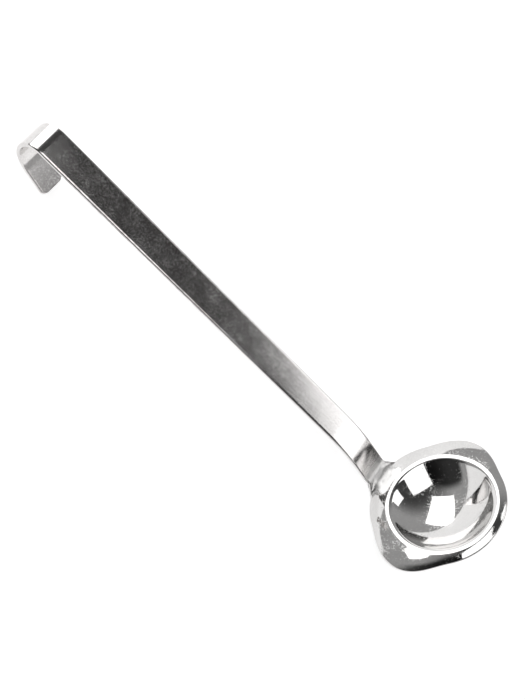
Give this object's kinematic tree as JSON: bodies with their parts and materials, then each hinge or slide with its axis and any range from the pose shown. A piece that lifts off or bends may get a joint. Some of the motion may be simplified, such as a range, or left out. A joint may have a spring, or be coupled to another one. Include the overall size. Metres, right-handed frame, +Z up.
{
  "type": "sauce ladle",
  "caption": "Stainless-steel sauce ladle: shallow round mirror-polished bowl with a flared rim and a pouring lip on each side, on a bent satin strap handle with a hanging hook.",
  "frame": {"origin": "on the table under the middle of the ladle's bounding box, with the ladle lying on its bowl and the tip of its hook", "axes": "+X along the ladle from the hook to the bowl, +Y across the strap, +Z up; the XZ plane is the plane of symmetry"},
  "size_m": [0.3062, 0.0846, 0.0543],
  "materials": {
    "satin_steel": "stainless steel, satin brushed along the strap",
    "ground_steel": "stainless steel weld, ground and polished flush",
    "mirror_steel": "stainless steel, mirror polished"
  },
  "bodies": {
    "root": {"handle": "satin_steel", "neck_weld": "ground_steel", "bowl": "mirror_steel"}
  },
  "joints": []
}
